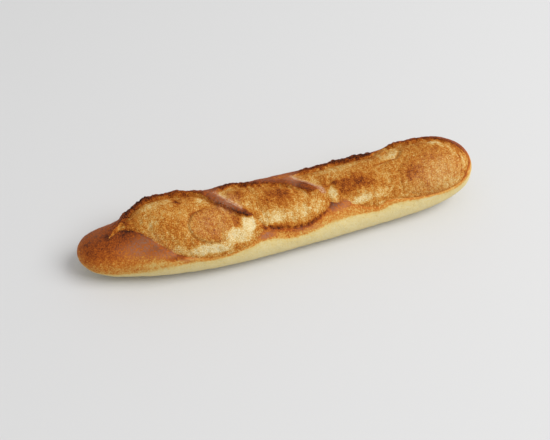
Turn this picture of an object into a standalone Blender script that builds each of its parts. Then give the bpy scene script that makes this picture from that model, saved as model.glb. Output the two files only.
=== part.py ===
"""A demi-baguette: one loaf, baked in one piece, lying on its flat base.

Frame: +X runs along the loaf from its narrow end to its blunt end, +Y points to the side that
carries the raised ears, and +Z is up. The origin is on the base, under the middle of the loaf.
Metres throughout; angles round the loaf are in degrees from its top line, positive towards +Y.
"""

import bmesh
import bpy
import numpy as np

LENGTH = 0.318
SECTION_RADIUS = 0.030  # turns an angle round the loaf into a distance along its skin

# Stations along the loaf: share of the length, half width, height, and sideways bend.
STATIONS = (
    (0.00, 0.0280, 0.0385, 0.0050),
    (0.10, 0.0255, 0.0385, 0.0010),
    (0.20, 0.0330, 0.0450, 0.0022),
    (0.35, 0.0330, 0.0430, -0.0015),
    (0.55, 0.0328, 0.0400, 0.0000),
    (0.75, 0.0312, 0.0430, 0.0008),
    (0.90, 0.0360, 0.0515, 0.0032),
    (1.00, 0.0415, 0.0590, 0.0018),
)
NARROW_END_POWER = 6.5  # how squarely each end rounds off: 2 is an ellipse
BLUNT_END_POWER = 5.0

# The cross-section: an ellipse above its widest level and a squarer curve below, cut flat by the base.
WIDEST_LEVEL = 0.42  # share of the height
BELOW_POWER = 2.6
BELOW_REACH = 1.06  # how far the lower curve would reach past the base

# Each score opened into a leaf-shaped bloom between a raised ear and a lower front edge.
# Both lines run from the leaf's first tip to its last: (distance along X, angle from the top line).
SCORES = (
    {
        "ear": (
            (-0.136, -13), (-0.126, 20), (-0.110, 38), (-0.087, 35),
            (-0.063, 27), (-0.051, -8), (-0.029, -45),
        ),
        "front": ((-0.136, -13), (-0.120, -12), (-0.105, -50), (-0.086, -72), (-0.041, -76), (-0.029, -45)),
    },
    {
        "ear": ((-0.057, 24), (-0.046, 37), (-0.028, 36), (-0.004, 16), (0.012, -3), (0.027, -34)),
        "front": ((-0.057, 24), (-0.046, -8), (-0.029, -50), (-0.010, -59), (0.014, -56), (0.027, -34)),
    },
    {
        "ear": ((0.002, 28), (0.035, 34), (0.065, 34), (0.100, 30), (0.130, 22), (0.142, -20), (0.144, -60)),
        "front": ((0.002, 28), (0.013, -5), (0.030, -42), (0.055, -60), (0.100, -69), (0.132, -74), (0.144, -60)),
    },
)
BLOOM_RISE = 0.0026  # how far a bloom swells above the loaf's own curve
BLOOM_SHOULDER = 0.010  # distance from the edge over which it rises
EAR_RISE = 0.0036
EAR_WIDTH = 0.0062  # distance over which an ear sinks back into the skin
EAR_UNDERCUT = 0.0024  # width of the drop on the ear's open side
EDGE_GROOVE = 0.0009  # depth of the groove along a bloom's front edge
GROOVE_WIDTH = 0.0030
END_FADE = 1.4  # how soon the relief dies out where the loaf rounds off at its ends
LEAST_REACH = 0.010  # from the section's centre to the skin, below which the relief fades

FACES_ROUND = 56
FACES_ALONG = 60

CRUST_COLOUR = (0.47, 0.20, 0.055, 1.0)
CRUST_ROUGHNESS = 0.62


def smooth_curve(points, steps=10):
    """Points along a Catmull-Rom curve through the given ones."""
    knots = np.array(points, float)
    knots = np.vstack([2 * knots[0] - knots[1], knots, 2 * knots[-1] - knots[-2]])
    share = np.linspace(0.0, 1.0, steps, endpoint=False)[:, None]
    pieces = []
    for before, start, end, after in zip(knots, knots[1:], knots[2:], knots[3:]):
        pieces.append(
            0.5 * (
                2 * start
                + (end - before) * share
                + (2 * before - 5 * start + 4 * end - after) * share**2
                + (3 * start - before - 3 * end + after) * share**3
            )
        )
    return np.vstack([*pieces, knots[-2]])


def station_value(share, column):
    """The half width, height or bend at a share of the loaf's length, read smoothly from STATIONS."""
    curve = smooth_curve([(row[0], row[column]) for row in STATIONS])
    return np.interp(share, curve[:, 0], curve[:, 1])


def skin_line(points):
    """A score line as points on the unrolled skin: distance along the loaf and distance round it."""
    line = smooth_curve(points)
    return np.column_stack([line[:, 0], np.radians(line[:, 1]) * SECTION_RADIUS])


def distance_to(line, places):
    """How far each place is from a line of short straight pieces."""
    start, step = line[:-1], np.diff(line, axis=0)
    offset = places[:, None, :] - start[None]
    share = np.clip((offset * step).sum(2) / (step**2).sum(1), 0.0, 1.0)
    return np.linalg.norm(offset - share[..., None] * step, axis=2).min(1)


def inside(loop, places):
    """True where a place lies within a closed loop, by counting the edges that it is under."""
    x, y = places[:, 0:1], places[:, 1:2]
    x0, y0 = loop[:, 0], loop[:, 1]
    x1, y1 = np.roll(x0, -1), np.roll(y0, -1)
    crosses = (x0 > x) != (x1 > x)
    run = np.where(x1 == x0, 1.0, x1 - x0)
    above = y < y0 + (x - x0) * (y1 - y0) / run
    return (crosses & above).sum(1) % 2 == 1


def relief(places):
    """How far the blooms, ears and grooves move the skin in or out at each place."""
    lift = np.zeros(len(places))
    for score in SCORES:
        ear, front = skin_line(score["ear"]), skin_line(score["front"])
        within = inside(np.vstack([ear, front[::-1]]), places)
        from_ear, from_front = distance_to(ear, places), distance_to(front, places)
        from_edge = np.minimum(from_ear, from_front)
        bloom = BLOOM_RISE * (1 - np.exp(-((from_edge / BLOOM_SHOULDER) ** 2)))
        groove = EDGE_GROOVE * np.exp(-((from_front / GROOVE_WIDTH) ** 2))
        fade = np.where(within, EAR_UNDERCUT, EAR_WIDTH)
        ridge = EAR_RISE * np.exp(-((from_ear / fade) ** 2))
        near_front = np.exp(-((from_front / BLOOM_SHOULDER) ** 2))
        lift += np.where(within, bloom, 0.0) - groove + ridge * (1 - near_front)
    return lift


def loaf_point(share, angle, lift):
    """Places on the skin for shares of the length and angles from the top line, in radians."""
    half_width, height, bend = (station_value(share, column) for column in (1, 2, 3))
    along = 2 * share - 1
    power = np.where(along < 0, NARROW_END_POWER, BLUNT_END_POWER)
    roundness = np.sqrt(np.maximum(1 - np.abs(along) ** power, 0.0))
    middle = WIDEST_LEVEL * height
    across, up = np.sin(angle), np.cos(angle)
    squarer = 2 / BELOW_POWER
    below_across = np.sign(across) * np.abs(across) ** squarer
    below_up = -BELOW_REACH * np.abs(up) ** squarer
    is_above = up >= 0
    side = half_width * np.where(is_above, across, below_across) * roundness
    rise = np.where(is_above, (height - middle) * up, middle * below_up) * roundness
    reach = np.maximum(np.hypot(side, rise), LEAST_REACH)
    swell = 1 + lift * np.minimum(roundness * END_FADE, 1.0) / reach
    return np.column_stack(
        [
            (share - 0.5) * LENGTH,
            bend + side * swell,
            np.maximum(middle + rise * swell, 0.0),
        ]
    )


def crust_material():
    material = bpy.data.materials.new("crust")
    material.use_nodes = True
    shader = material.node_tree.nodes["Principled BSDF"]
    shader.inputs["Base Color"].default_value = CRUST_COLOUR
    shader.inputs["Roughness"].default_value = CRUST_ROUGHNESS
    shader.inputs["Metallic"].default_value = 0.0
    return material


def baguette_mesh():
    """A ball whose poles are the loaf's two ends, drawn out into the loaf with its blooms and ears."""
    body = bmesh.new()
    bmesh.ops.create_uvsphere(body, u_segments=FACES_ROUND, v_segments=FACES_ALONG, radius=1.0)
    ball = np.array([vertex.co for vertex in body.verts])
    share = (1 - ball[:, 2].clip(-1, 1)) / 2
    angle = np.arctan2(ball[:, 1], ball[:, 0])
    places = np.column_stack([(share - 0.5) * LENGTH, angle * SECTION_RADIUS])
    for vertex, place in zip(body.verts, loaf_point(share, angle, relief(places))):
        vertex.co = place
    body.normal_update()
    bmesh.ops.recalc_face_normals(body, faces=body.faces)
    mesh = bpy.data.meshes.new("baguette")
    body.to_mesh(mesh)
    body.free()
    mesh.shade_smooth()
    return mesh


def main():
    for obj in list(bpy.data.objects):
        bpy.data.objects.remove(obj)
    collection = bpy.data.collections.new("baguette")
    bpy.context.scene.collection.children.link(collection)
    baguette = bpy.data.objects.new("baguette", baguette_mesh())
    baguette.data.materials.append(crust_material())
    collection.objects.link(baguette)


main()
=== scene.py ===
# %% [markdown]
# # A demi-baguette
# A short loaf that was scored three times, and whose scores opened in the oven. This lesson builds its crust
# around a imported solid, which already has the right size: 318 mm long and lying on its flat base. The solid
# stays in the file for its collision shape, and a fine crust is shown in its place.

import math

import bmesh
import bpy
import numpy as np
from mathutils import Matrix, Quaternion, Vector, noise


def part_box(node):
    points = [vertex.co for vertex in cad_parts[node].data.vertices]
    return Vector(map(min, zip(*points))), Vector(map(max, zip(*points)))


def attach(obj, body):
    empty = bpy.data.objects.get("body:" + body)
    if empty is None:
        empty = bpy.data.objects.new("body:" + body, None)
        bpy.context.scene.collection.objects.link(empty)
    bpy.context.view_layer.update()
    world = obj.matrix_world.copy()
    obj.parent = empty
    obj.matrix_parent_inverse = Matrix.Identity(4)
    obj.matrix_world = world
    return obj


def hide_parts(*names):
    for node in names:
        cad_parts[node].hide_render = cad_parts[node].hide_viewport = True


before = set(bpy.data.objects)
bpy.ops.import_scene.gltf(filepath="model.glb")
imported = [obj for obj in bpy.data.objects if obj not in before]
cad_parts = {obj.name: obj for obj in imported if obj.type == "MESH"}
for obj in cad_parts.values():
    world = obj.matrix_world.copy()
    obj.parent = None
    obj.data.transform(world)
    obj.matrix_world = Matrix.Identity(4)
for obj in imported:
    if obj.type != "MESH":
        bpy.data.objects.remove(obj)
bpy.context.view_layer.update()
low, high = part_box("baguette")
LENGTH = high.x - low.x
MM = 0.001
print(f"the solid is {LENGTH / MM:.0f} x {(high.y - low.y) / MM:.0f} x {(high.z - low.z) / MM:.0f} mm")

# %% [markdown]
# ## The room
# A loaf on a plain pale table under one large soft lamp. The lamp could be a sun or a point light, but both
# draw hard shadows. A wide area light high on the blunt end's side gives the weak shadow at the narrow end,
# and a bright sky fills the rest, as white walls do. Colours are shown as they are, with no film look,
# because bread is judged by its colour.

# %% The table, the lamp and the sky
TABLE_SIZE = 12.0
TABLE_COLOUR = (0.66, 0.66, 0.66, 1.0)
SKY_COLOUR = (1.0, 1.0, 1.0, 1.0)
SKY_STRENGTH = 0.58
LAMP_PLACE = (1.60, -0.90, 2.10)
LAMP_SIZE = 1.8
LAMP_POWER = 64.0


def plain_material(name, colour, roughness):
    """A material of one colour, for what is not part of the loaf."""
    material = bpy.data.materials.new(name)
    material.use_nodes = True
    shader = material.node_tree.nodes["Principled BSDF"]
    shader.inputs["Base Color"].default_value = colour
    shader.inputs["Roughness"].default_value = roughness
    return material


def make_table():
    """A flat square under the loaf."""
    sheet = bmesh.new()
    bmesh.ops.create_grid(sheet, x_segments=1, y_segments=1, size=TABLE_SIZE / 2)
    mesh = bpy.data.meshes.new("table")
    sheet.to_mesh(mesh)
    sheet.free()
    table = bpy.data.objects.new("table", mesh)
    mesh.materials.append(plain_material("pale_table", TABLE_COLOUR, 0.9))
    bpy.context.scene.collection.objects.link(table)


def make_lamp():
    """One wide square lamp that faces the loaf."""
    lamp = bpy.data.lights.new("soft_lamp", "AREA")
    lamp.size = LAMP_SIZE
    lamp.energy = LAMP_POWER
    holder = bpy.data.objects.new("soft_lamp", lamp)
    holder.location = LAMP_PLACE
    holder.rotation_euler = (-Vector(LAMP_PLACE)).to_track_quat("-Z", "Y").to_euler()
    bpy.context.scene.collection.objects.link(holder)


def make_sky():
    """An even, bright surround."""
    sky = bpy.data.worlds.new("sky")
    sky.use_nodes = True
    background = sky.node_tree.nodes["Background"]
    background.inputs["Color"].default_value = SKY_COLOUR
    background.inputs["Strength"].default_value = SKY_STRENGTH
    bpy.context.scene.world = sky


make_table()
make_lamp()
make_sky()
bpy.context.scene.view_settings.view_transform = "Standard"
print("the room has a table, one lamp and a sky")

# %% [markdown]
# ## The camera
# The loaf is seen from its front, a little round towards its narrow end, and from about halfway between
# level and overhead, where the openings show best. A camera can be placed by its own coordinates, but a
# target, a distance and two angles say more plainly what it does.

# %% The camera
CAMERA_TARGET = (-0.0107, -0.0095, 0.0200)
CAMERA_DISTANCE = 0.587
CAMERA_ELEVATION = 46.9
CAMERA_SWING = 19.5
CAMERA_ROLL = 1.05
CAMERA_LENS = 50.4


def make_camera():
    """A camera on a sphere round its target, turned to face it and rolled about its own line of sight."""
    up, swing = math.radians(CAMERA_ELEVATION), math.radians(CAMERA_SWING)
    back = Vector((-math.sin(swing) * math.cos(up), -math.cos(swing) * math.cos(up), math.sin(up)))
    lens = bpy.data.cameras.new("camera")
    lens.lens = CAMERA_LENS
    camera = bpy.data.objects.new("camera", lens)
    camera.location = Vector(CAMERA_TARGET) + back * CAMERA_DISTANCE
    rolled = Quaternion(back, math.radians(CAMERA_ROLL)) @ (-back).to_track_quat("-Z", "Y")
    camera.rotation_euler = rolled.to_euler()
    bpy.context.scene.collection.objects.link(camera)
    bpy.context.scene.camera = camera


make_camera()
print("the camera stands at", [round(c, 3) for c in bpy.context.scene.camera.location])

# %% [markdown]
# ## The loaf's body
# A baker rolls a baguette on the bench, so it is a long round form that narrows at its ends, sags a little
# under its own weight, and is flat where it lies. It could be sculpted by hand, or lofted through a few
# rings. Here it is one rule: at each station along the loaf a half width, a height and a sideways bend are
# given, and smooth curves join the stations. The stations are those of the solid, so the crust lies where
# the solid does.

# %% Stations, and curves through points
STATIONS = (
    # share of the length, half width, height, sideways bend
    (0.00, 28.0, 38.5, 5.0),
    (0.10, 25.5, 38.5, 1.0),
    (0.20, 33.0, 45.0, 2.2),
    (0.35, 33.0, 43.0, -1.5),
    (0.55, 32.8, 40.0, 0.0),
    (0.75, 31.2, 43.0, 0.8),
    (0.90, 36.0, 51.5, 3.2),
    (1.00, 41.5, 59.0, 1.8),
)
SECTION_RADIUS = 30.0 * MM
NARROW_END_POWER, BLUNT_END_POWER = 6.5, 5.0
WIDEST_LEVEL = 0.42
BELOW_POWER = 2.6
BELOW_REACH = 1.06


def smooth_curve(points, steps=10):
    """Points along a Catmull-Rom curve through the given ones."""
    knots = np.array(points, float)
    knots = np.vstack([2 * knots[0] - knots[1], knots, 2 * knots[-1] - knots[-2]])
    share = np.linspace(0.0, 1.0, steps, endpoint=False)[:, None]
    pieces = []
    for before, start, end, after in zip(knots, knots[1:], knots[2:], knots[3:]):
        bend = 2 * before - 5 * start + 4 * end - after
        twist = 3 * start - before - 3 * end + after
        pieces.append(0.5 * (2 * start + (end - before) * share + bend * share**2 + twist * share**3))
    return np.vstack([*pieces, knots[-2]])


STATION_CURVE = smooth_curve(STATIONS) * (1, MM, MM, MM)


def station_value(share, column):
    """The half width, height or bend at a share of the loaf's length."""
    return np.interp(share, STATION_CURVE[:, 0], STATION_CURVE[:, column])


def end_roundness(share):
    """How full the loaf is at a share of its length: 0 at its tips and 1 along most of it."""
    along = 2 * share - 1
    power = np.where(along < 0, NARROW_END_POWER, BLUNT_END_POWER)
    return np.sqrt(np.maximum(1 - np.abs(along) ** power, 0.0))


def body_point(share, angle):
    """Places on the bare body for shares of the length and angles from the top line, in radians."""
    half_width, height, bend = (station_value(share, column) for column in (1, 2, 3))
    full = end_roundness(share)
    middle = WIDEST_LEVEL * height
    across, up = np.sin(angle), np.cos(angle)
    squarer = 2 / BELOW_POWER
    below_across = np.sign(across) * np.abs(across) ** squarer
    below_up = -BELOW_REACH * np.abs(up) ** squarer
    side = half_width * full * np.where(up >= 0, across, below_across)
    rise = full * np.where(up >= 0, (height - middle) * up, middle * below_up)
    return np.stack([(share - 0.5) * LENGTH, bend + side, middle + rise], axis=-1)


print(f"the body's curve has {len(STATION_CURVE)} points along {LENGTH / MM:.0f} mm")

# %% [markdown]
# ## The scores
# The baker cut three long slanting scores with a blade held low. In the oven each one opened like a leaf.
# Its far side lifted into an ear, a thin flap that burns first, and the dough swelled out of it as a rough
# bloom that pushes against its near edge. A leaf is two lines from tip to tip. They are drawn on the
# unrolled skin, by the distance along the loaf and the angle round it from the top line, because that is how
# a baker sees them and because the shape and the colours can then share them.

# %% The lines of the three openings
SCORES = (
    # ear: along, angle, rise of the flap, how burnt.  edge: along, angle, how dark the near edge is baked.
    {
        "ear": (
            (-135, -12, 0.0, 0.0), (-131, 2, 1.0, 0.3), (-126, 14, 2.0, 0.6), (-120, 26, 2.8, 0.9),
            (-113, 35, 3.4, 1.0), (-103, 37, 3.6, 1.0), (-92, 34, 3.2, 0.7), (-80, 32, 3.0, 0.5),
            (-70, 31, 3.0, 0.4), (-63, 25, 2.8, 0.3), (-58, 14, 2.6, 0.4), (-54, 4, 2.4, 0.5),
            (-48, -7, 2.2, 0.6), (-41, -18, 2.2, 0.7), (-36, -24, 1.8, 0.8), (-30, -29, 0.3, 0.6),
        ),
        "edge": (
            (-135, -12, 0.2), (-130, -5, 0.2), (-126, 0, 0.5), (-120, -7, 0.5), (-114, -18, 0.4),
            (-108, -32, 0.3), (-101, -48, 0.3), (-94, -61, 0.4), (-86, -70, 0.5), (-76, -78, 0.1),
            (-62, -82, 0.0), (-48, -78, 0.0), (-38, -72, 0.0), (-30, -62, 0.2), (-25, -50, 0.2),
            (-26, -40, 0.1), (-30, -29, 0.1),
        ),
    },
    {
        "ear": (
            (-52, 22, 0.2, 0.1), (-50, 30, 1.0, 0.3), (-45, 35, 2.2, 0.8), (-38, 37, 2.8, 0.9),
            (-31, 34, 2.6, 0.7), (-24, 29, 2.2, 0.8), (-16, 24, 2.0, 0.5), (-8, 18, 1.8, 0.3),
            (0, 13, 1.8, 0.2), (5, 8, 2.0, 0.3), (10, 0, 2.2, 0.5), (15, -6, 2.0, 0.5), (20, -10, 1.4, 0.5),
            (26, -12, 0.2, 0.2),
        ),
        "edge": (
            (-52, 22, 0.0), (-48, 12, 0.0), (-44, 0, 0.0), (-39, -11, 0.0), (-34, -20, 0.1), (-30, -28, 0.1),
            (-28, -38, 0.1), (-24, -46, 0.9), (-16, -53, 1.0), (-6, -59, 1.0), (4, -61, 1.0), (12, -58, 0.9),
            (20, -52, 0.7), (26, -44, 0.5), (30, -34, 0.2), (28, -22, 0.0), (26, -12, 0.0),
        ),
    },
    {
        "ear": (
            (10, 27, 0.3, 0.1), (18, 30, 1.8, 0.4), (28, 32, 2.6, 0.8), (40, 33, 2.8, 0.8),
            (52, 35, 3.0, 0.9), (64, 34, 3.0, 1.0), (76, 32, 2.8, 1.0), (80, 36, 0.8, 0.5),
            (84, 43, 0.4, 0.2), (92, 44, 0.5, 0.2), (97, 38, 2.4, 0.4), (104, 33, 2.8, 0.4),
            (112, 30, 2.4, 0.4), (122, 27, 2.0, 0.5), (130, 21, 1.8, 0.6), (136, 15, 1.5, 0.6),
            (142, 6, 1.0, 0.5), (147, -6, 0.7, 0.4), (150, -18, 0.4, 0.3), (153, -29, 0.1, 0.2),
        ),
        "edge": (
            (10, 27, 0.0), (12, 18, 0.0), (16, 9, 0.0), (21, 0, 0.0), (26, -9, 0.0), (28, -22, 0.0),
            (30, -34, 0.1), (35, -39, 0.2), (44, -41, 0.2), (47, -48, 0.2), (54, -56, 0.2), (61, -63, 0.2),
            (68, -65, 0.2), (75, -60, 0.2), (80, -61, 0.3), (90, -66, 0.3), (100, -71, 0.3), (110, -75, 0.3),
            (122, -79, 0.3), (131, -80, 0.3), (139, -77, 0.4), (145, -68, 0.5), (149, -56, 0.6),
            (152.5, -42, 0.5), (153, -29, 0.3),
        ),
    },
)
LINE_STEPS = 24
CHUNK = 4000  # places handled at once


def skin_place(along, angle):
    """A place on the unrolled skin, in metres, from millimetres along the loaf and degrees round it."""
    return np.stack([np.asarray(along) * MM, np.radians(angle) * SECTION_RADIUS], axis=-1)


def skin_line(points):
    """A smooth line on the unrolled skin, and the values that go with each of its points."""
    line = smooth_curve(points, LINE_STEPS)
    return skin_place(line[:, 0], line[:, 1]), line[:, 2:]


def nearest_on(points, places, reach):
    """How far places are from a line, up to reach, with the line's right-hand side and its values there."""
    line, values = skin_line(points)
    ahead = np.gradient(line, axis=0)
    half_step = np.linalg.norm(ahead, axis=1) / 2
    ahead /= 2 * half_step[:, None]
    right = np.stack([ahead[:, 1], -ahead[:, 0]], axis=1)
    distance, side = np.full(len(places), reach), np.zeros_like(places)
    value = np.zeros((len(places), values.shape[1]))
    close = ((places > line.min(0) - reach) & (places < line.max(0) + reach)).all(1).nonzero()[0]
    for rows in np.array_split(close, len(close) // CHUNK + 1):
        gap = places[rows, None, :] - line[None, :, :]
        nearest = (gap**2).sum(2).argmin(1)
        gap = gap[np.arange(len(rows)), nearest]
        past = np.maximum(np.abs((gap * ahead[nearest]).sum(1)) - half_step[nearest], 0.0)
        distance[rows] = np.minimum(np.hypot((gap * right[nearest]).sum(1), past), reach)
        side[rows], value[rows] = right[nearest], values[nearest]
    return distance, side, value.T


def inside(loop, places):
    """True where a place lies within a closed loop, by counting the edges that it is under."""
    low_corner, high_corner = loop.min(0), loop.max(0)
    near = ((places > low_corner) & (places < high_corner)).all(1).nonzero()[0]
    x, y = places[near, 0:1], places[near, 1:2]
    x0, y0 = loop[:, 0], loop[:, 1]
    x1, y1 = np.roll(x0, -1), np.roll(y0, -1)
    crosses = (x0 > x) != (x1 > x)
    run = np.where(x1 == x0, 1.0, x1 - x0)
    above = y < y0 + (x - x0) * (y1 - y0) / run
    within = np.zeros(len(places), bool)
    within[near] = (crosses & above).sum(1) % 2 == 1
    return within


print(f"{len(SCORES)} openings, drawn with {sum(len(s['ear']) + len(s['edge']) for s in SCORES)} points")

# %% [markdown]
# ## A grid of points that follows the crust
# The crust is one closed skin, so it starts as a ball whose two poles become the loaf's tips. A ball from
# the menu has its rings spaced for a ball: here they are spaced evenly along the crust instead, and the
# points of each ring are drawn together near the torn edges, where the crust needs them, and apart
# underneath. That gives torn edges finer faces without more of them, which a subdivision over the whole loaf
# could not.

# %% Rings and the points on them
RINGS = 440
ROUND = 224
EDGE_PULL = 1.8
EDGE_PULL_WIDTH, EDGE_PULL_REACH = 3.5 * MM, 12.0 * MM
UNDERSIDE_FROM, UNDERSIDE_SHARE = 105, 0.45  # degrees from the top line, and the share of points past it
TRIAL_RINGS, TRIAL_ANGLES = 4000, 181
HANN = np.hanning(15) / np.hanning(15).sum()
LEVEL = np.ones(7) / 7


def even_shares(count):
    """Ring places from tip to tip, evenly spaced along the loaf's side."""
    share = (1 - np.cos(np.linspace(0, math.pi, TRIAL_RINGS))) / 2
    radius = station_value(share, 1) * end_roundness(share)
    travelled = np.concatenate([[0], np.cumsum(np.hypot(np.diff(share) * LENGTH, np.diff(radius)))])
    return np.interp(np.linspace(0, travelled[-1], count), travelled, share)


def smoothed(values, kernel, ends, axis):
    """A table of values, smoothed along one axis."""
    beside = len(kernel) // 2

    def smooth_row(row):
        return np.convolve(np.pad(row, beside, ends), kernel, "valid")

    return np.apply_along_axis(smooth_row, axis, values)


def crowded_angles(share, count):
    """Angles for each ring, closer together near the torn edges and farther apart underneath."""
    trial = np.linspace(-math.pi, math.pi, TRIAL_ANGLES)
    x, angle = np.meshgrid((share - 0.5) * LENGTH, trial, indexing="ij")
    places = np.stack([x, angle * SECTION_RADIUS], axis=-1).reshape(-1, 2)
    underneath = np.abs(places[:, 1]) > math.radians(UNDERSIDE_FROM) * SECTION_RADIUS
    crowd = np.where(underneath, UNDERSIDE_SHARE, 1.0)
    for score in SCORES:
        for points in score.values():
            distance = nearest_on(points, places, EDGE_PULL_REACH)[0]
            crowd += EDGE_PULL * np.exp(-((distance / EDGE_PULL_WIDTH) ** 2))
    crowd = smoothed(crowd.reshape(x.shape), HANN, "edge", 0)
    crowd = smoothed(crowd, LEVEL, "wrap", 1)
    total = np.concatenate([np.zeros((len(share), 1)), np.cumsum((crowd[:, 1:] + crowd[:, :-1]) / 2, 1)], 1)
    steps = np.arange(count) / count
    return np.array([np.interp(steps * row[-1], row, trial) for row in total])


ring_share = even_shares(RINGS + 1)
ring_angle = crowded_angles(ring_share, ROUND)
grid_share = np.repeat(ring_share[:, None], ROUND, 1)
bare = body_point(grid_share, ring_angle)
gaps = np.diff(ring_angle[RINGS // 2]) * SECTION_RADIUS / MM
print(f"{RINGS} rings of {ROUND} points, {gaps.min():.2f} to {gaps.max():.2f} mm apart round the middle")

# %% [markdown]
# ## Raising the openings
# Now the skin is moved in and out. Each bloom swells, each ear stands up along its far side and leans over
# the opening with a small hollow under it, and each near edge sinks into a groove. A ridge that only moves
# outward cannot lean, so an ear's points are also moved along the skin, towards the opening. Torn crust is
# never smooth, so the lines are first shaken a little by noise, and the ears rise and fall along their
# length.

# %% Noise on the crust
OCTAVES = 2


def roughness_at(points, size, across=1.0, seed=0.0):
    """Noise about -1 to 1, with lumps of one size along the loaf and across times that round it."""
    scale = np.array([1.0, 1.0 / across, 1.0 / across]) / size
    spots = points.reshape(-1, 3) * scale + seed
    values = [noise.fractal(spot, 1.0, 2.0, OCTAVES) for spot in spots]
    return np.array(values).reshape(points.shape[:-1])


EDGE_SHAKE = ((2.2 * MM, 0.35 * MM), (8.0 * MM, 0.55 * MM))  # size and strength of each shake


def shaken_places():
    """The grid's places on the unrolled skin, each moved a little by noise."""
    places = np.stack([(grid_share - 0.5) * LENGTH, ring_angle * SECTION_RADIUS], axis=-1)
    for index, (size, strength) in enumerate(EDGE_SHAKE):
        for axis in (0, 1):
            places[..., axis] += strength * roughness_at(bare, size, seed=10.0 * index + 5.0 * axis)
    return places.reshape(-1, 2)


places = shaken_places()
print("the lines are shaken by up to", round(sum(strength for _, strength in EDGE_SHAKE) / MM, 2), "mm")

# %% The distance of every point to every line
REACH = 16.0 * MM


def opening_fields(score):
    """Where one opening lies, and how far each point is from its ear and from its near edge."""
    ear_line, edge_line = skin_line(score["ear"])[0], skin_line(score["edge"])[0]
    fields = {"within": inside(np.vstack([ear_line, edge_line[::-1]]), places)}
    fields["from_ear"], fields["into"], ear_values = nearest_on(score["ear"], places, REACH)
    fields["rise"], fields["char"] = ear_values
    fields["from_edge"], _, (fields["dark"],) = nearest_on(score["edge"], places, REACH)
    return fields


openings = [opening_fields(score) for score in SCORES]
torn = np.any([opening["within"] for opening in openings], axis=0)
print(f"{torn.mean():.0%} of the points lie in an opening")

# %% Blooms, ears and grooves
BLOOM_RISE = 2.6 * MM
BLOOM_SHOULDER = 10.0 * MM
EAR_BACK_WIDTH = 5.5 * MM
EAR_FRONT_WIDTH = 1.1 * MM
EAR_LEAN = 0.55
EAR_LEAN_WIDTH = 1.7 * MM
HOLLOW_DEPTH = 0.42
HOLLOW_PLACE = 2.6 * MM
HOLLOW_WIDTH = 1.5 * MM
GROOVE_DEPTH = 0.9 * MM
GROOVE_WIDTH = 1.2 * MM
FAINT_GROOVE = 0.15  # the depth beside a pale edge, against that beside a dark one
LIP_RISE = 0.7 * MM
LIP_PLACE = 2.0 * MM
LIP_WIDTH = 1.5 * MM
RAGGED = ((2.6 * MM, 31.0), (9.0 * MM, 37.0))  # size and seed of the noise
RAGGEDNESS = 0.40


def bump(distance, width):
    """1 on a line, falling to 0 over about a width."""
    return np.exp(-((distance / width) ** 2))


def opening_relief(fields, ragged):
    """How far one opening moves each point out of the skin, and along it towards the opening."""
    within, from_ear, from_edge = fields["within"], fields["from_ear"], fields["from_edge"]
    rise = fields["rise"] * MM * (1 + RAGGEDNESS * ragged)
    bloom = np.where(within, BLOOM_RISE * (1 - bump(np.minimum(from_ear, from_edge), BLOOM_SHOULDER)), 0.0)
    ridge = rise * bump(from_ear, np.where(within, EAR_FRONT_WIDTH, EAR_BACK_WIDTH))
    hollow = np.where(within, HOLLOW_DEPTH * rise * bump(from_ear - HOLLOW_PLACE, HOLLOW_WIDTH), 0.0)
    groove = GROOVE_DEPTH * bump(from_edge, GROOVE_WIDTH)
    groove *= FAINT_GROOVE + (1 - FAINT_GROOVE) * fields["dark"]
    lip = np.where(within, 0.0, LIP_RISE * bump(from_edge - LIP_PLACE, LIP_WIDTH) * fields["dark"])
    lean = (EAR_LEAN * rise * bump(from_ear, EAR_LEAN_WIDTH))[:, None] * fields["into"]
    return bloom + ridge - hollow - groove + lip, lean


ragged = sum(roughness_at(bare, size, seed=seed).ravel() for size, seed in RAGGED)
reliefs = [opening_relief(opening, ragged) for opening in openings]
outward = sum(relief for relief, _ in reliefs)
along_skin = sum(lean for _, lean in reliefs)
print(f"the skin moves out by {outward.min() / MM:.1f} to {outward.max() / MM:.1f} mm")

# %% [markdown]
# ## Terraces, creases and lumps
# A bloom does not swell evenly. It breaks into plates and lobes, and a few of them are large enough to see
# across a room. Sculpting them by brush would work, but they are few, so each is one line of numbers: where
# it lies on the unrolled skin, how long and wide it is, and how far it rises.

# %% Large forms in the blooms
# along, angle, half length, half width in degrees, rise, softness of the border (all lengths in millimetres)
TERRACES = (
    (-62, -32, 16, 23, 1.4, 0.9),
    (-92, -28, 13, 15, 0.5, 3.0),
    (-36, 6, 9, 16, 0.5, 2.5),
    (-4, -14, 15, 20, 0.5, 3.0),
    (50, -18, 16, 16, 0.7, 3.0),
    (112, -36, 24, 32, 0.6, 3.0),
    (92, 14, 8, 12, -1.3, 2.5),
    (-42, -50, 9, 12, -0.5, 3.0),
    (52, -44, 7, 8, -0.4, 2.5),
    (70, -42, 7, 10, -0.4, 2.5),
)
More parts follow.
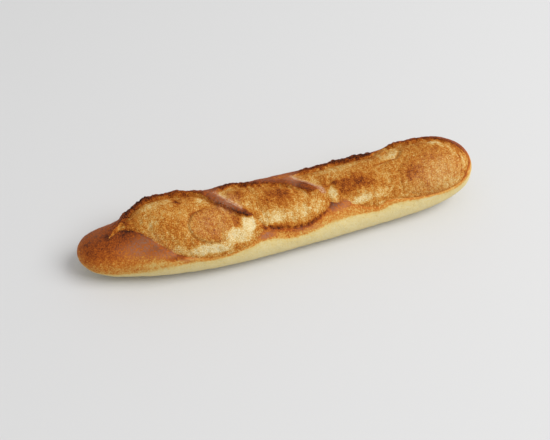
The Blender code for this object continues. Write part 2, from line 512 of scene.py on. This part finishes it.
# Creases run through points of (along, angle, depth).
CREASES = (
    ((-26, 33, 0.2), (-27, 15, 0.6), (-25, 0, 0.5), (-25, -15, 0.4), (-23, -30, 0.4), (-21, -45, 0.2)),
    ((64, -5, 0.0), (74, -1, 0.6), (82, 0, 1.0), (91, 1, 1.0), (96, 8, 0.6), (100, 22, 0.1)),
    ((-86, 22, 0.0), (-82, 12, 1.1), (-79, 4, 0.3)),
    ((31, -12, 0.2), (38, -20, 0.5), (42, -32, 0.2)),
    ((66, -52, 0.1), (63, -60, 0.6), (66, -64, 0.2)),
    ((-84, -60, 0.2), (-80, -52, 0.5), (-79, -40, 0.2)),
    ((137, 2, 0.0), (140, -8, 0.5), (142, -25, 0.9), (142, -45, 0.9), (139, -60, 0.6), (133, -70, 0.1)),
    ((145, -15, 0.0), (147, -30, 0.6), (147, -48, 0.5), (143, -62, 0.1)),
    ((-80, -30, 0.2), (-77, -18, 0.6), (-73, -13, 0.9), (-65, -9, 0.9), (-56, -9, 0.3)),
)
CREASE_WIDTH, CREASE_REACH = 1.3 * MM, 6.0 * MM


def how_far_in(spots, along, angle, half_length, half_width):
    """How deep each spot lies in an ellipse on the unrolled skin, in metres, negative outside it."""
    centre, size = skin_place(along, angle), skin_place(half_length, half_width)
    return (1 - np.linalg.norm((spots - centre) / size, axis=1)) * size.min()


def rise_between(value, start, end):
    """0 before start, 1 after end, and smooth between them."""
    share = np.clip((value - start) / (end - start), 0.0, 1.0)
    return share * share * (3 - 2 * share)


# The second array marks the floors of the creases, where painted shade darkens the colour.
forms, painted_crease_shade = np.zeros(len(places)), np.zeros(len(places))
for along, angle, half_length, half_width, rise, soft in TERRACES:
    deep = how_far_in(places, along, angle, half_length, half_width)
    forms += rise * MM * rise_between(deep, -soft * MM / 2, soft * MM / 2)
for crease in CREASES:
    from_crease, _, (depth,) = nearest_on(crease, places, CREASE_REACH)
    forms -= depth * MM * bump(from_crease, CREASE_WIDTH)
    painted_crease_shade += depth * bump(from_crease, CREASE_WIDTH / 2)
forms *= torn
print(f"the forms move the blooms by {forms.min() / MM:.1f} to {forms.max() / MM:.1f} mm")

# %% [markdown]
# ## Crumb and blisters
# Torn crust is rough all over: lumps, fine ribs that run the way it was pulled, strands that hang from the
# ears, and open pores. Old skin is smooth with small blisters. Near the blunt tip the last bloom shows
# cracks one inside another, like ripples. Bump in a material could draw all this, but it leaves the outline
# smooth, so what is wider than about a millimetre is made here in the mesh, and only the finer grain is left
# to the material.

# %% Fine relief
LUMPS = ((9.0 * MM, 0.45 * MM), (2.4 * MM, 0.22 * MM), (1.3 * MM, 0.12 * MM))  # size and height
RIB_SIZE, RIB_LENGTH, RIB_HEIGHT = 1.5 * MM, 5.0, 0.20 * MM
STRAND_SIZE, STRAND_LENGTH, STRAND_HEIGHT, STRAND_REACH = 3.4 * MM, 4.5, 0.55 * MM, 11.0 * MM
PORE_SIZE, PORE_DEPTH, PORE_WIDTH = 3.2 * MM, 0.38 * MM, 0.35
SKIN_LUMP_SIZE, SKIN_LUMP_HEIGHT = 9.0 * MM, 0.30 * MM
BLISTER_SIZE, BLISTER_HEIGHT, BLISTER_WIDTH = 2.8 * MM, 0.16 * MM, 0.4  # widths are shares of a cell
RIPPLE_SPACING, RIPPLE_DEPTH = 3.0 * MM, 0.28 * MM
RIPPLES_START, RIPPLES_FULL = 118 * MM, 132 * MM


def cells_at(points, size):
    """Each point's distance to the middle of the nearest random cell, as a share of the cells' size."""
    return np.array([noise.voronoi(spot)[0][0] for spot in points.reshape(-1, 3) / size])


def pulled_strands():
    """Strands of crumb that hang from the ears, and fade away from them."""
    near_ear = np.max([np.exp(-opening["from_ear"] / STRAND_REACH) for opening in openings], axis=0)
    return near_ear * roughness_at(bare, STRAND_SIZE, across=STRAND_LENGTH, seed=98.0).ravel()


def torn_roughness():
    """The relief of torn crust at every point, and the ripples near the blunt tip."""
    height = sum(tall * roughness_at(bare, size, seed=size / MM).ravel() for size, tall in LUMPS)
    height += RIB_HEIGHT * roughness_at(bare, RIB_SIZE, across=RIB_LENGTH, seed=50.0).ravel()
    height += STRAND_HEIGHT * strands - PORE_DEPTH * bump(cells_at(bare, PORE_SIZE), PORE_WIDTH)
    from_border = np.min([np.minimum(each["from_ear"], each["from_edge"]) for each in openings], axis=0)
    ripple = 0.5 + 0.5 * np.cos(2 * math.pi * from_border / RIPPLE_SPACING)
    ripple *= rise_between(places[:, 0], RIPPLES_START, RIPPLES_FULL)
    return height - RIPPLE_DEPTH * ripple, ripple


def skin_roughness():
    """The relief of unbroken skin at every point."""
    blisters = BLISTER_HEIGHT * bump(cells_at(bare, BLISTER_SIZE), BLISTER_WIDTH)
    return SKIN_LUMP_HEIGHT * roughness_at(bare, SKIN_LUMP_SIZE, seed=60.0).ravel() + blisters


strands = pulled_strands()
crumb_relief, rippled = torn_roughness()
fine = np.where(torn, crumb_relief, skin_roughness())
print(f"the fine relief moves the crust by {fine.min() / MM:.2f} to {fine.max() / MM:.2f} mm")

# %% [markdown]
# ## From the grid to the crust
# The points now move: out of the body along its own normals by the sum of the reliefs, and along the skin
# where an ear leans. The relief dies out at the tips, where the points crowd together, and below, where the
# loaf is pressed flat by the table.

# %% The crust's points
TIP_FADE = 1.4
FLAT_BELOW = 1.5 * MM
BASE_RELIEF = 0.15  # how much of the relief is left on the base


def grid_directions(grid):
    """The outward normal of every point, and the directions along the loaf and round it."""
    along = np.gradient(grid, axis=0)
    round_it = np.roll(grid, -1, axis=1) - np.roll(grid, 1, axis=1)
    normal = np.cross(along, round_it)
    size = [np.linalg.norm(v, axis=2, keepdims=True) for v in (normal, along, round_it)]
    unit = [v / np.maximum(s, 1e-12) for v, s in zip((normal, along, round_it), size)]
    unit[0][0], unit[0][-1] = (-1, 0, 0), (1, 0, 0)
    return unit


def crust_points():
    """Every point of the finished crust, ring by ring."""
    normal, along, round_it = grid_directions(bare)
    fade = np.minimum(end_roundness(grid_share) * TIP_FADE, 1.0)
    fade *= BASE_RELIEF + (1 - BASE_RELIEF) * rise_between(bare[..., 2], 0.0, FLAT_BELOW)
    out = (outward + forms + fine).reshape(fade.shape) * fade
    lean = along_skin.reshape(*fade.shape, 2) * fade[..., None]
    points = bare + normal * out[..., None] + along * lean[..., :1] + round_it * lean[..., 1:]
    points[0], points[-1] = bare[0, 0], bare[-1, 0]
    points[..., 2] = np.maximum(points[..., 2], 0.0)
    return points


crust = crust_points()
print("the crust measures", [round(float(s) / MM, 1) for s in np.ptp(crust.reshape(-1, 3), axis=0)], "mm")

# %% [markdown]
# ## How dark the crust baked, with some painted shade
# Nearly all of a loaf's colour is one thing: how far the crust browned, from pale dough through gold and
# orange to brown and at last to char. So every point gets one number for it, from 0 to 1, and the material
# turns that number into colour. The flank that lay low stayed pale, skin that faced the heat went brown,
# thin edges burnt, and the bread that opened last stayed cream. The same number also carries painted shade:
# it is raised on the bloom under each ear, along the creases and in the ripples' troughs near the blunt tip.
# A second number says how much flour still lies on the crust.

# %% The pale flank and the browned skin
# The line between them on the near side: along, angle, how gradual the change is.
FLANK_LINE = (
    (-159, -112, 9), (-150, -108, 9), (-140, -103, 9), (-130, -98, 8), (-120, -94, 7), (-110, -91, 6),
    (-100, -88, 5), (-90, -87, 4), (-80, -85, 2.5), (-65, -86, 1.5), (-50, -82, 1.5), (-38, -76, 1.5),
    (-28, -70, 1.5), (-18, -70, 1.5), (-8, -76, 2), (2, -78, 2), (12, -75, 2.5), (24, -69, 3),
    (38, -66, 3.5), (48, -67, 3), (58, -71, 2), (68, -73, 1.5), (78, -69, 1.5), (90, -71, 1.5),
    (102, -76, 1.5), (116, -81, 1.5), (130, -85, 2), (142, -84, 2), (150, -76, 2), (159, -70, 2),
)
FAR_FLANK_LINE = (
    (-159, 112), (-140, 104), (-120, 95), (-95, 89), (-70, 91), (-45, 85), (-10, 82), (20, 86), (50, 90),
    (80, 84), (110, 80), (135, 86), (159, 84),
)
FAR_FLANK_SHAKE = ((35.0 * MM, 4.0), (8.0 * MM, 1.5))  # size, and strength in degrees
FAR_FLANK_SOFTNESS = 6.0
# Over the tips the line runs level instead, or it would end in a point there.
TIP_LINE_HEIGHTS = (11.0, 28.0)  # at the narrow and the blunt tip
TIP_LINE_START, TIP_LINE_FULL, TIP_SLOPE = 146.0, 156.0, 2.0
PALE, PALE_EDGE, JUST_BROWNED, BROWN = 0.05, 0.15, 0.34, 0.68
PALE_EDGE_WIDTH = 4.0
BROWNING_START = 0.05
BROWNING_DISTANCE = ((-130, 42.0), (-60, 22.0))  # along, and how far above the line the skin is fully brown
BASE_BAKE, BASE_BROWNING = 0.50, (8.0, 18.0)  # the base browns again this far below the line


def skin_bake():
    """How far unbroken skin browned at every point."""
    line = smooth_curve(FLANK_LINE, LINE_STEPS)
    x, angle = places[:, 0] / MM, np.degrees(places[:, 1] / SECTION_RADIUS)
    to_mm = math.radians(1) * SECTION_RADIUS / MM
    near = (angle - np.interp(x, line[:, 0], line[:, 1])) * to_mm
    shake = sum(strength * roughness_at(bare, size, seed=65.0).ravel() for size, strength in FAR_FLANK_SHAKE)
    far = (np.interp(x, *np.transpose(FAR_FLANK_LINE)) + shake - angle) * to_mm
    above = np.where(angle < 0, near, far)
    over_tip = TIP_SLOPE * (bare[..., 2].ravel() / MM - np.where(x < 0, *TIP_LINE_HEIGHTS))
    above += (over_tip - above) * rise_between(np.abs(x), TIP_LINE_START, TIP_LINE_FULL)
    soft = np.where(angle < 0, np.interp(x, line[:, 0], line[:, 2]), FAR_FLANK_SOFTNESS)
    bake = PALE + (PALE_EDGE - PALE) * np.exp(np.minimum(above, 0) / PALE_EDGE_WIDTH)
    bake += (JUST_BROWNED - PALE_EDGE) * rise_between(above, -soft / 2, soft / 2)
    far_enough = np.interp(x, *np.transpose(BROWNING_DISTANCE))
    bake += (BROWN - JUST_BROWNED) * rise_between(above / far_enough, BROWNING_START, 1.0)
    under = rise_between(FLAT_BELOW - bare[..., 2].ravel(), 0.0, FLAT_BELOW)
    return bake + (BASE_BAKE - bake) * under * rise_between(-above, *BASE_BROWNING)


skin = skin_bake()
print(f"{(skin < 0.2).mean():.0%} of the skin stayed pale")

# %% The blooms, patch by patch
BLOOM_BAKE = 0.44
# along, angle, half length, half width in degrees, change of bake
PATCHES = (
    # the first bloom
    (-116, 8, 6, 22, 0.12), (-101, 14, 8, 10, -0.17), (-95, -8, 8, 6, -0.05), (-88, 15, 6, 8, -0.12),
    (-82, 10, 2.2, 8, 0.26), (-70, 23, 9, 8, 0.10), (-63, 9, 4, 9, -0.20), (-92, -27, 11, 9, 0.09),
    (-62, -32, 14, 20, 0.04), (-68, -13, 9, 3, 0.10), (-43, -32, 4, 7, 0.16), (-80, -38, 2.5, 12, -0.10),
    (-88, -60, 5, 7, -0.20), (-55, -78, 24, 3.5, -0.04), (-27, -50, 5, 12, -0.04), (-104, -25, 5, 18, -0.06),
    (-48, -20, 5, 8, -0.06),
    # the second
    (-34, 6, 8, 8, 0.18), (-42, 22, 5, 6, -0.06), (-8, -8, 13, 12, 0.26), (2, -38, 24, 10, -0.17),
    (-18, -38, 8, 9, -0.22), (-48, 12, 3, 14, -0.12), (-24, -8, 2.5, 22, -0.10), (0, 5, 12, 3, -0.06),
    (15, -30, 10, 12, -0.03), (27, -30, 3, 12, 0.06),
    # the third
    (47, 14, 16, 9, -0.15), (38, -11, 8, 4.5, 0.24), (52, -19, 15, 13, 0.28), (62, -24, 6, 9, 0.12),
    (118, -14, 22, 12, 0.08), (98, -30, 10, 12, 0.20), (122, -46, 16, 18, -0.06), (130, -68, 10, 8, -0.18),
    (110, 8, 11, 8, 0.08), (66, -60, 9, 4, -0.02), (20, 12, 5, 10, 0.04), (84, -62, 8, 5, -0.06),
    (60, -36, 6, 5, -0.08), (40, -38, 3, 5, 0.12), (134, 0, 4, 9, -0.16), (139, -16, 3, 12, -0.14),
)
# Bread that opened last: along, angle, half length, half width in degrees, the bake that it comes to.
LATE_BREAD = (
    (-73, -65, 8, 6, 0.12), (-62, -64, 9, 7, 0.08), (-45, -52, 9, 10, 0.10), (-35, -38, 5, 9, 0.05),
    (-89, -60, 3, 3, 0.26), (34, -25, 2.5, 9, 0.14), (54, -46, 7, 4.5, 0.10), (71, -44, 4, 3.5, 0.24),
    (88, 8, 5, 5, 0.20), (94, 16, 4.5, 8, 0.24), (129, 9, 5, 8, 0.16), (-18, -41, 6, 5, 0.16),
    (146, -38, 3, 15, 0.26), (-27.5, -50, 3, 9, 0.42),
)
LATE_BORDER = 2.6 * MM
LATE_GRAIN = 0.35  # how much of its own mottling such bread keeps
SKIN_PATCHES = (
    (-119, -8, 6, 9, 0.12), (-124, -14, 7, 12, 0.06), (-140, 0, 14, 16, 0.04), (-112, -45, 10, 14, 0.04),
    (-137, -8, 4, 8, 0.14), (-106, -79, 14, 6, -0.10), (-103, -57, 9, 9, 0.14), (-92, -70, 8, 5, 0.22),
    (-24, -61, 6, 6, 0.24), (33, -41, 5, 8, 0.22), (145, -4, 6, 14, 0.02), (148, -66, 6, 12, -0.08),
    (125, -80, 20, 5, -0.10), (5, 30, 10, 16, -0.12), (13, 4, 7, 5, 0.10), (156, -40, 7, 34, -0.24),
)
PATCH_SHAKE = ((1.6 * MM, 0.5 * MM), (4.0 * MM, 1.0 * MM), (12.0 * MM, 1.6 * MM))  # size and strength
PATCH_STEEPNESS, PATCH_END = 1.5, 40.0  # past its end a patch adds nothing that shows


def shaken_spots():
    """The places once more, shaken harder, so that patches are not round."""
    spots = places.copy()
    for index, (size, strength) in enumerate(PATCH_SHAKE):
        for axis in (0, 1):
            spots[:, axis] += strength * roughness_at(bare, size, seed=70.0 + 10 * index + 5 * axis).ravel()
    return spots


spots = shaken_spots()


def patches_on(bare_bake, patches):
    """The bake with soft-edged patches added to it."""
    bake = bare_bake.copy()
    for along, angle, half_length, half_width, change in patches:
        away = (spots - skin_place(along, angle)) / skin_place(half_length, half_width)
        bake += change * np.exp(-np.minimum((away**2).sum(1), PATCH_END) ** PATCH_STEEPNESS)
    return bake


# %% Burnt edges, and painted shade under the ears and in the creases
CREST_WIDTHS = (0.28 * MM, 0.96 * MM)  # of a pale ear and of a burnt one
CREST_BAKES = (0.64, 1.0)
BEHIND_EAR, BEHIND_EAR_WIDTH = 0.74, 4.0 * MM
# painted shade on the bloom just under each ear, where the leaning ear shades it
PAINTED_EAR_SHADE, PAINTED_EAR_SHADE_WIDTH = 0.15, 5.0 * MM
EDGE_DARKENING = 0.30
EDGE_DARK_WIDTHS = (0.6 * MM, 2.8 * MM)  # of a faint edge and of a dark one
# painted shade along the floors of the creases
CREASE_PAINTED_SHADE = 0.22
FULL_EAR_RISE = 1.5
BROKEN, BROKEN_LEAST, BROKEN_MOST = 0.8, 0.25, 1.6


def between(pair, share):
    """A value between the two of a pair."""
    return pair[0] + (pair[1] - pair[0]) * share


def raised_to(bake, level, share):
    """The bake, brought up towards a level by a share."""
    return bake + np.maximum(level - bake, 0.0) * share


def burn_and_shade(bake):
    """The bake with the ears' thin edges and the near edges darkened, and painted shade added under the ears
    and in the creases.
    """
    broken = np.clip(1.0 + BROKEN * ragged, BROKEN_LEAST, BROKEN_MOST)
    for opening in openings:
        within, from_ear, char = opening["within"], opening["from_ear"], opening["char"]
        stands = np.clip(opening["rise"] / FULL_EAR_RISE, 0.0, 1.0)
        bake = raised_to(bake, BEHIND_EAR, bump(from_ear, BEHIND_EAR_WIDTH) * stands * ~within)
        # painted shade on the bloom under the ear
        bake = bake + PAINTED_EAR_SHADE * np.exp(-from_ear / PAINTED_EAR_SHADE_WIDTH) * stands * within
        on_crest = bump(from_ear, between(CREST_WIDTHS, char) * broken) * stands
        bake = raised_to(bake, between(CREST_BAKES, char), on_crest)
        on_edge = bump(opening["from_edge"], between(EDGE_DARK_WIDTHS, opening["dark"]))
        bake = bake + EDGE_DARKENING * opening["dark"] * broken * on_edge
    return bake + CREASE_PAINTED_SHADE * painted_crease_shade * torn


# Raised grains brown first, so the fine relief shifts the bake, and so do streaks, clouds and strands. The
# ripples' troughs near the blunt tip are darkened as painted shade.
GRAIN_BROWNING = 0.10 / MM
STREAK_SIZE, STREAK_LENGTH, STREAK_STRENGTH = 1.6 * MM, 7.0, 0.07
STREAK_REACH, STREAK_EVERYWHERE = 10.0 * MM, 0.4
CLOUD_SIZE, CLOUD_STRENGTH = 9.0 * MM, 0.03
STRAND_BROWNING = 0.26
# painted shade in the troughs of the ripples near the blunt tip
RIPPLE_PAINTED_SHADE = 0.12


def browning_and_ripple_shade():
    """Uneven browning of the torn crust, and painted shade in the ripples' troughs near the blunt tip."""
    near_ear = np.max([np.exp(-opening["from_ear"] / STREAK_REACH) for opening in openings], axis=0)
    streaks = roughness_at(bare, STREAK_SIZE, across=STREAK_LENGTH, seed=90.0).ravel()
    bake = GRAIN_BROWNING * fine + STREAK_STRENGTH * streaks * (STREAK_EVERYWHERE + near_ear)
    bake += CLOUD_STRENGTH * roughness_at(bare, CLOUD_SIZE, seed=95.0).ravel()
    return bake + STRAND_BROWNING * strands + RIPPLE_PAINTED_SHADE * rippled**3


browned_and_shaded = browning_and_ripple_shade()
bloom = patches_on(np.full(len(places), BLOOM_BAKE), PATCHES) + browned_and_shaded
for along, angle, half_length, half_width, level in LATE_BREAD:
    deep = how_far_in(spots, along, angle, half_length, half_width)
    bloom += (level + LATE_GRAIN * browned_and_shaded - bloom) * rise_between(deep, -LATE_BORDER, LATE_BORDER / 2)
bake = np.where(torn, bloom, patches_on(skin, SKIN_PATCHES))
bake = np.clip(burn_and_shade(bake), 0.0, 1.0)
print(f"the bake runs from {bake.min():.2f} to {bake.max():.2f}")

# %% Flour
# along, angle, half length, half width in degrees, amount
FLOUR = (
    (-114, -45, 15, 18, 0.75), (-99, -62, 9, 8, 0.6), (-84, -76, 8, 4, 0.5), (-46, -4, 9, 16, 0.8),
    (-52, 18, 6, 12, 0.6), (10, 18, 6, 14, 0.8), (-24, -61, 6, 6, 0.9), (10, -67, 13, 5, 0.4),
    (36, -45, 9, 8, 0.6), (-146, 25, 12, 30, 0.25), (118, -44, 24, 30, 0.45), (-62, -32, 15, 20, 0.45),
    (-60, 70, 60, 15, 0.3), (70, 72, 50, 15, 0.3),
)
FLOURED_LIP, FLOURED_LIP_WIDTH = 2.2, 0.8 * MM
PALE_EDGE_DARKNESS, LIP_FROM = 0.05, -20  # only pale edges above this angle have a floured lip
MOST_FLOUR = 2.5
flour = patches_on(np.zeros(len(places)), FLOUR)
for opening in openings[1:]:  # the strips of old skin keep a line of flour along their upper edge
    lip = bump(opening["from_edge"] - FLOURED_LIP_WIDTH, FLOURED_LIP_WIDTH)
    lip *= (opening["dark"] < PALE_EDGE_DARKNESS) & (places[:, 1] > skin_place(0, LIP_FROM)[1])
    flour += FLOURED_LIP * lip
flour = np.clip(flour, 0.0, MOST_FLOUR)
print(f"{(flour > 0.3).mean():.0%} of the crust still carries flour")

# %% [markdown]
# ## The mesh
# The ball comes from one operator, and each of its points is then told its ring and its place on it, and
# moved to where the crust's point is. The numbers for bake, tearing and flour go along as attributes, which
# a material can read by name. The loaf is also unwrapped: cut along its underside and across its middle, and
# laid out as two strips, so that a painter or a bake has room for it in a square picture.

# %% One closed crust
STRIP_MARGIN = 0.01


def ring_and_spot(vertex):
    """The ring that a point of the ball is on, and its place on that ring."""
    ring = round(math.acos(max(-1.0, min(1.0, -vertex.co.z))) / math.pi * RINGS)
    spot = round((math.atan2(vertex.co.y, vertex.co.x) / math.tau + 0.5) * ROUND) % ROUND
    return ring, 0 if ring in (0, RINGS) else spot


def unwrap(shape, where):
    """Lays the crust out as two strips, one above the other."""
    layer = shape.loops.layers.uv.new("OFBake")
    for face in shape.faces:
        rings = [where[v.index][0] for v in face.verts]
        tip = {0, RINGS} & set(rings)
        spots = [where[v.index][1] for v in face.verts if where[v.index][0] not in tip]
        wraps = max(spots) - min(spots) > ROUND / 2
        strip = int(min(rings) >= RINGS / 2)
        middle = sum(s + ROUND * (wraps and s < ROUND / 2) for s in spots) / len(spots)
        for loop in face.loops:
            ring, spot = where[loop.vert.index]
            turn = middle if ring in tip else spot + ROUND * (wraps and spot < ROUND / 2)
            height = turn / ROUND * (1 - 2 * STRIP_MARGIN) + STRIP_MARGIN
            loop[layer].uv = (ring / RINGS * 2 - strip, (height + strip) / 2)


def make_loaf():
    """The ball, moved to the crust's points, with its attributes."""
    shape = bmesh.new()
    bmesh.ops.create_uvsphere(shape, u_segments=ROUND, v_segments=RINGS, radius=1.0)
    shape.verts.index_update()
    where = [ring_and_spot(vertex) for vertex in shape.verts]
    for vertex, spot in zip(shape.verts, where):
        vertex.co = crust[spot]
    unwrap(shape, where)
    shape.normal_update()
    bmesh.ops.recalc_face_normals(shape, faces=shape.faces)
    mesh = bpy.data.meshes.new("loaf")
    shape.to_mesh(mesh)
    shape.free()
    mesh.shade_smooth()
    for name, values in (("bake", bake), ("torn", torn.astype(float)), ("flour", flour)):
        field = values.reshape(RINGS + 1, ROUND)
        attribute = mesh.attributes.new(name, "FLOAT", "POINT")
        attribute.data.foreach_set("value", [field[spot] for spot in where])
    loaf = bpy.data.objects.new("loaf", mesh)
    bpy.context.scene.collection.objects.link(loaf)
    return loaf


loaf = make_loaf()
print(f"the loaf has {len(loaf.data.polygons)} faces")

# %% [markdown]
# ## The crust's finish
# A picture of bread could be wrapped round the loaf, but it would stretch over the ears and end at one size.
# The material works the colour out instead. Two colour ramps turn bake into colour: torn crust goes from
# cream to tan and skin from pale dough to a redder brown. A speckle, made once as a node group and used for
# both, shifts the bake up and down in small spots, darkens its pores as painted shade, and gives the same
# spots their height.

# %% The speckle, as a node group
BROAD_SCALE, PORE_SCALE = 0.28, 0.5  # against the fine grain's
FINE_PART, BROAD_PART = 0.78, 0.22
PORE_RIM, PORE_MIDDLE = 0.30, 0.12
PORE_SINKS = -0.8


def new_socket(group, name, way, kind="NodeSocketFloat"):
    """One input or output of a node group."""
    group.interface.new_socket(name=name, in_out=way, socket_type=kind)


def add(tree, kind, **settings):
    """A node of one kind, with its settings and the values of its inputs."""
    node = tree.nodes.new(kind)
    for name, value in settings.items():
        if hasattr(node, name):
            setattr(node, name, value)
        else:
            node.inputs[name.replace("_", " ")].default_value = value
    return node


def maths(tree, operation, first, second, third=None):
    """One sum: each of its terms is a number or another node's output."""
    node = add(tree, "ShaderNodeMath", operation=operation)
    for socket, term in zip(node.inputs, (first, second, third)):
        if isinstance(term, bpy.types.NodeSocket):
            tree.links.new(term, socket)
        elif term is not None:
            socket.default_value = term
    return node.outputs[0]


def speckle_group():
    """Small spots, pores and their height, at a size given in spots per metre."""
    group = bpy.data.node_groups.new("crust_speckle", "ShaderNodeTree")
    new_socket(group, "Vector", "INPUT", "NodeSocketVector")
    new_socket(group, "Spots per metre", "INPUT")
    new_socket(group, "Spots", "OUTPUT")
    new_socket(group, "Pores", "OUTPUT")
    new_socket(group, "Height", "OUTPUT")
    inlet, outlet = add(group, "NodeGroupInput"), add(group, "NodeGroupOutput")
    fine_grain = add(group, "ShaderNodeTexNoise", Detail=3.0, Roughness=0.72)
    broad = add(group, "ShaderNodeTexNoise", Detail=2.0, Roughness=0.5)
    pore = add(group, "ShaderNodeTexVoronoi")
    for node, share in ((fine_grain, 1.0), (broad, BROAD_SCALE), (pore, PORE_SCALE)):
        group.links.new(inlet.outputs["Vector"], node.inputs["Vector"])
        scale = maths(group, "MULTIPLY", inlet.outputs["Spots per metre"], share)
        group.links.new(scale, node.inputs["Scale"])
    broad_spots = maths(group, "MULTIPLY", broad.outputs[0], BROAD_PART)
    spots = maths(group, "MULTIPLY_ADD", fine_grain.outputs[0], FINE_PART, broad_spots)
    opened = add(group, "ShaderNodeMapRange", clamp=True)
    group.links.new(pore.outputs["Distance"], opened.inputs["Value"])
    for name, value in (("From Min", PORE_RIM), ("From Max", PORE_MIDDLE)):
        opened.inputs[name].default_value = value
    pores = maths(group, "MULTIPLY", opened.outputs[0], broad.outputs[0])
    group.links.new(maths(group, "SUBTRACT", spots, 0.5), outlet.inputs["Spots"])
    group.links.new(pores, outlet.inputs["Pores"])
    group.links.new(maths(group, "MULTIPLY_ADD", pores, PORE_SINKS, spots), outlet.inputs["Height"])
    return group


speckle = speckle_group()
print("the speckle gives", [s.name for s in speckle.interface.items_tree if s.in_out == "OUTPUT"])

# %% Colours and finish
TORN_COLOURS = (
    (0.00, (228, 210, 165)), (0.14, (216, 189, 128)), (0.28, (204, 158, 82)), (0.42, (191, 126, 46)),
    (0.56, (172, 97, 24)), (0.70, (149, 73, 17)), (0.84, (108, 48, 14)), (1.00, (42, 19, 13)),
)
SKIN_COLOURS = (
    (0.00, (222, 209, 162)), (0.14, (217, 192, 124)), (0.26, (210, 160, 80)), (0.40, (194, 118, 40)),
    (0.54, (172, 88, 24)), (0.68, (140, 66, 18)), (0.84, (96, 43, 17)), (1.00, (38, 18, 12)),
)
FLOUR_COLOUR = (212, 172, 140)
TORN_SPOTS, SKIN_SPOTS = 1300.0, 900.0
TORN_CONTRAST, SKIN_CONTRAST = 2.0, 1.3
# how much painted shade darkens the pores of torn crust and of skin
TORN_PORE_SHADE, SKIN_PORE_SHADE = 0.30, 0.10
SPECKLE_GROWTH, LEAST_SPECKLE = 2.0, 0.15  # pale crust is hardly speckled
FLOUR_COVER = 0.42
DUST_CONTRAST, DUST_LEVEL = 5.0, 0.45
SHINE = 0.12
SKIN_ROUGHNESS, TORN_ROUGHER, SPOTS_ROUGHER = 0.62, 0.20, 0.3
BUMP_STRENGTH, BUMP_HEIGHT = 0.8, 0.5 * MM


def linear(colour):
    """A screen colour, 0 to 255, as the light that it stands for."""
    parts = [part / 255 for part in colour]
    return (*(part / 12.92 if part <= 0.04045 else ((part + 0.055) / 1.055) ** 2.4 for part in parts), 1.0)


def ramp(tree, stops, value):
    """A colour ramp with these stops, read at a value."""
    node = add(tree, "ShaderNodeValToRGB")
    elements = node.color_ramp.elements
    while len(elements) < len(stops):
        elements.new(0.5)
    for element, (position, colour) in zip(elements, stops):
        element.position = position
        element.color = linear(colour)
    tree.links.new(value, node.inputs["Fac"])
    return node.outputs["Color"]


def mixed(tree, share, first, second):
    """A mix of two colours by a share."""
    node = add(tree, "ShaderNodeMix", data_type="RGBA")
    for name, kind, source in (("Factor", "VALUE", share), ("A", "RGBA", first), ("B", "RGBA", second)):
        socket = next(s for s in node.inputs if (s.name, s.type) == (name, kind))
        if isinstance(source, bpy.types.NodeSocket):
            tree.links.new(source, socket)
        else:
            socket.default_value = source
    return next(s for s in node.outputs if s.type == "RGBA")


def speckled(tree, place, spots_per_metre):
    """The speckle group at one size."""
    node = add(tree, "ShaderNodeGroup", node_tree=speckle)
    tree.links.new(place, node.inputs["Vector"])
    node.inputs["Spots per metre"].default_value = spots_per_metre
    return node.outputs


def crust_colour(tree, fields, crumb, blisters):
    """Bake turned into colour, with torn crust and skin each in their own way, and flour over both."""
    browned = maths(tree, "MULTIPLY_ADD", fields["bake"], SPECKLE_GROWTH, LEAST_SPECKLE)
    browned.node.use_clamp = True

    def bake_with(spots, contrast, pores):
        # spots shift the bake; the pores darken it, as painted shade inside them
        shifted = maths(tree, "MULTIPLY_ADD", spots["Spots"], contrast, fields["bake"])
        return maths(tree, "MULTIPLY_ADD", spots["Pores"], maths(tree, "MULTIPLY", browned, pores), shifted)

    skin_contrast = maths(tree, "MULTIPLY", browned, SKIN_CONTRAST)
    torn_colour = ramp(tree, TORN_COLOURS, bake_with(crumb, TORN_CONTRAST, TORN_PORE_SHADE))
    skin_colour = ramp(tree, SKIN_COLOURS, bake_with(blisters, skin_contrast, SKIN_PORE_SHADE))
    colour = mixed(tree, fields["torn"], skin_colour, torn_colour)
    dust = maths(tree, "MULTIPLY_ADD", blisters["Spots"], DUST_CONTRAST, DUST_LEVEL)
    cover = maths(tree, "MULTIPLY", maths(tree, "MULTIPLY", fields["flour"], FLOUR_COVER), dust)
    cover.node.use_clamp = True
    return mixed(tree, cover, colour, linear(FLOUR_COLOUR))


def crust_normal(tree, fields, crumb, blisters):
    """The finest relief of both kinds of crust."""
    height = add(tree, "ShaderNodeMix", data_type="FLOAT")
    # the sockets for numbers: the share, then the two that it mixes
    for index, source in ((0, fields["torn"]), (2, blisters["Height"]), (3, crumb["Height"])):
        tree.links.new(source, height.inputs[index])
    relief = add(tree, "ShaderNodeBump", Strength=BUMP_STRENGTH, Distance=BUMP_HEIGHT)
    tree.links.new(height.outputs[0], relief.inputs["Height"])
    return relief.outputs["Normal"]


# %% The crust material, put together
def crust_material():
    """One material for the whole crust, driven by its attributes."""
    material = bpy.data.materials.new("baked_crust")
    material.use_nodes = True
    tree = material.node_tree
    shader = tree.nodes["Principled BSDF"]
    shader.inputs["Specular IOR Level"].default_value = SHINE
    place = add(tree, "ShaderNodeTexCoord").outputs["Object"]
    fields = {
        name: add(tree, "ShaderNodeAttribute", attribute_name=name).outputs["Fac"]
        for name in ("bake", "torn", "flour")
    }
    crumb, blisters = speckled(tree, place, TORN_SPOTS), speckled(tree, place, SKIN_SPOTS)
    dull = maths(tree, "MULTIPLY_ADD", fields["torn"], TORN_ROUGHER, SKIN_ROUGHNESS)
    roughness = maths(tree, "MULTIPLY_ADD", crumb["Spots"], SPOTS_ROUGHER, dull)
    tree.links.new(crust_colour(tree, fields, crumb, blisters), shader.inputs["Base Color"])
    tree.links.new(roughness, shader.inputs["Roughness"])
    tree.links.new(crust_normal(tree, fields, crumb, blisters), shader.inputs["Normal"])
    return material


loaf.data.materials.append(crust_material())
print("the loaf wears", loaf.data.materials[0].name)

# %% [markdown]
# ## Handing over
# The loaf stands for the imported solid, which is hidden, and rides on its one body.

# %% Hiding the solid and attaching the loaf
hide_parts("baguette")
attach(loaf, "root")
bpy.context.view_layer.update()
